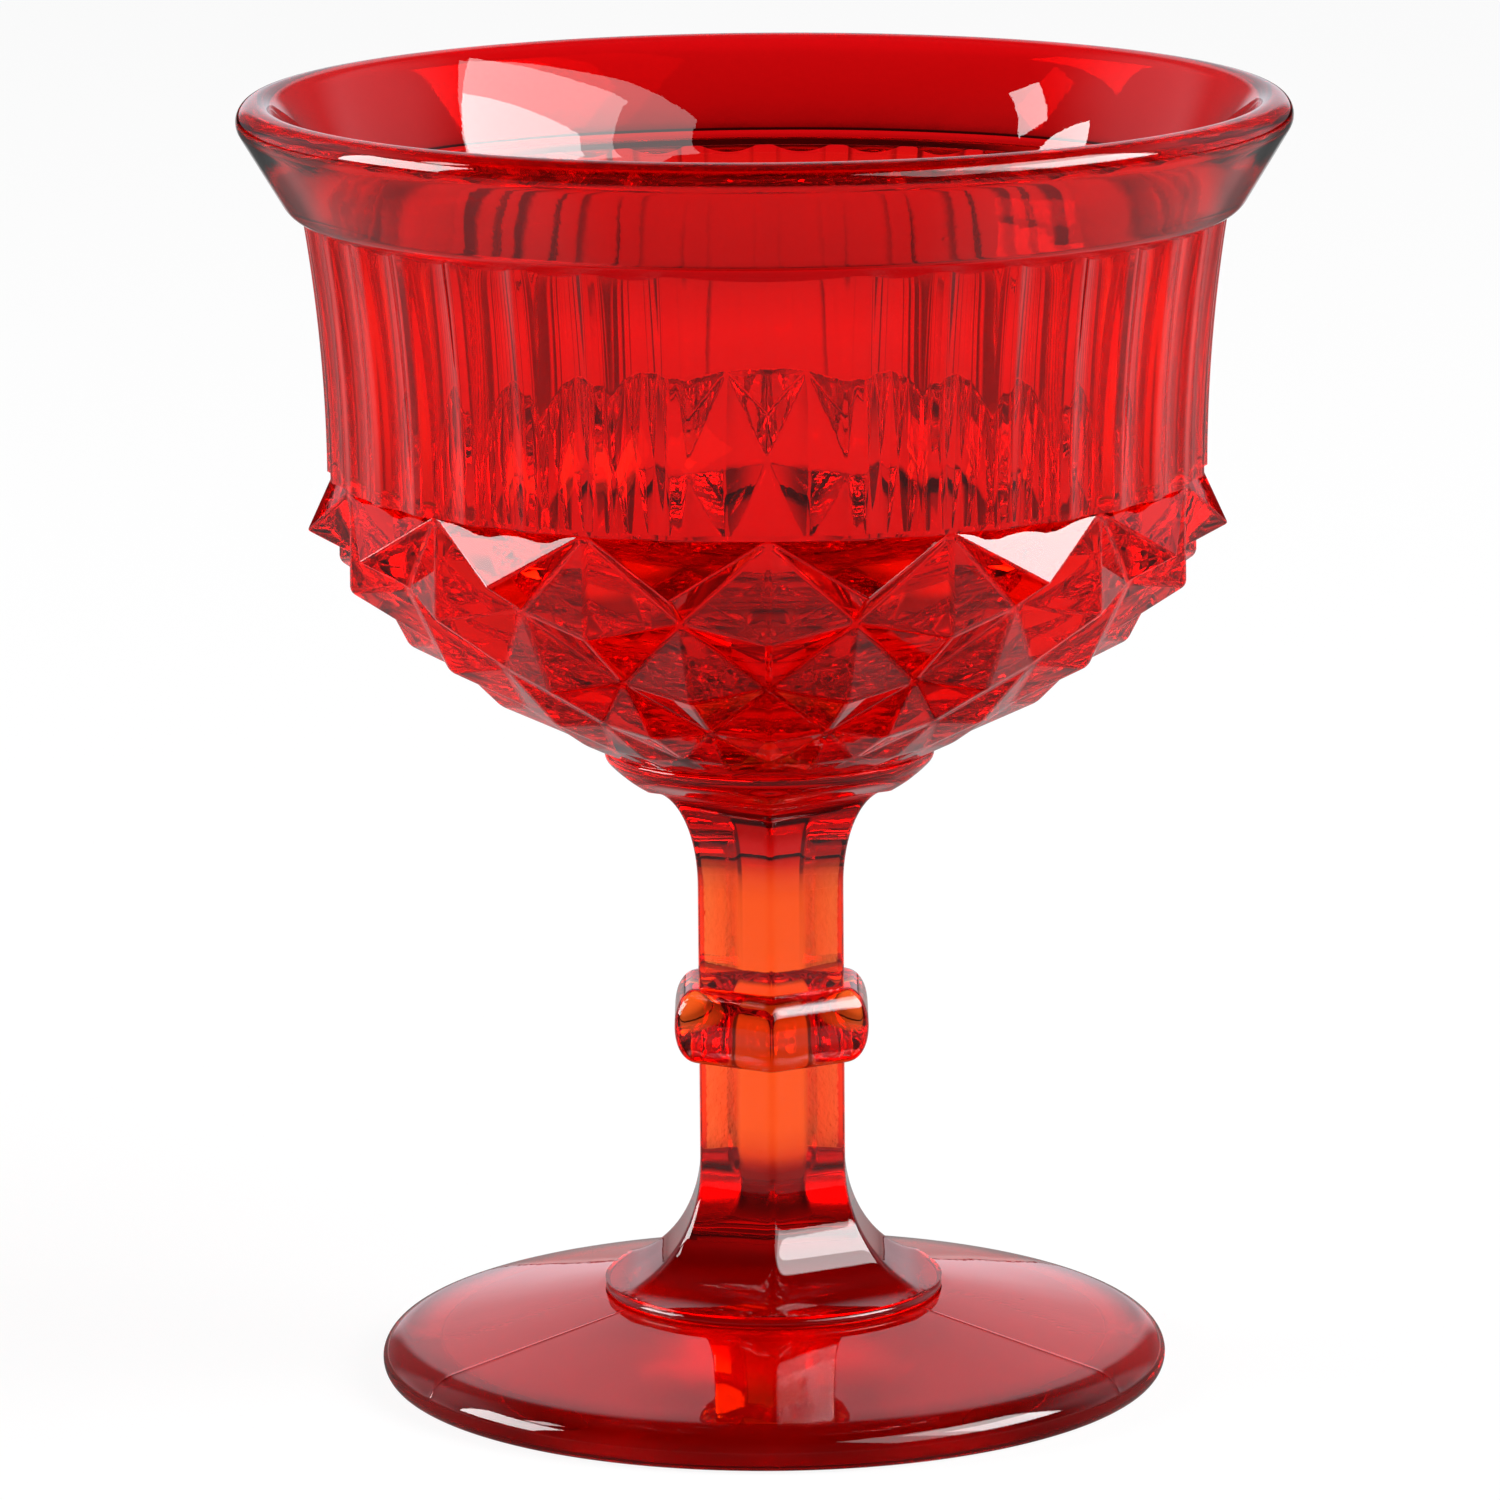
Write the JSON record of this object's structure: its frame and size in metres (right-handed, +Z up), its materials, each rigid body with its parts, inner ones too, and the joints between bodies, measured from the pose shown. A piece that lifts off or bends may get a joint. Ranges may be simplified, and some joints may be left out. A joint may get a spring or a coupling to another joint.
{
  "type": "sherbet glass",
  "caption": "Stemmed sherbet glass of red and amber pressed glass, with a flared rim, fluted wall, diamond-patterned bowl, six-sided stem with a knop and a round foot.",
  "frame": {"origin": "middle of the underside of the foot, on the plane that the glass stands on", "axes": "+Z up along the axis of the glass, -Y towards the viewer of the picture, through the middle of a wide panel"},
  "size_m": [0.0916, 0.0916, 0.114],
  "materials": {
    "ruby_glass": "clear red pressed glass, fire polished",
    "deep_ruby_glass": "clear deep red pressed glass, fire polished",
    "amber_glass": "clear amber-orange pressed glass, fire polished"
  },
  "bodies": {
    "root": {"rim_band": "ruby_glass", "fluted_wall": "ruby_glass", "diamond_bowl": "deep_ruby_glass", "collar": "deep_ruby_glass", "upper_flare": "deep_ruby_glass", "upper_stem": "amber_glass", "knop": "amber_glass", "lower_stem": "amber_glass", "foot_flare": "deep_ruby_glass", "foot": "ruby_glass"}
  },
  "joints": []
}
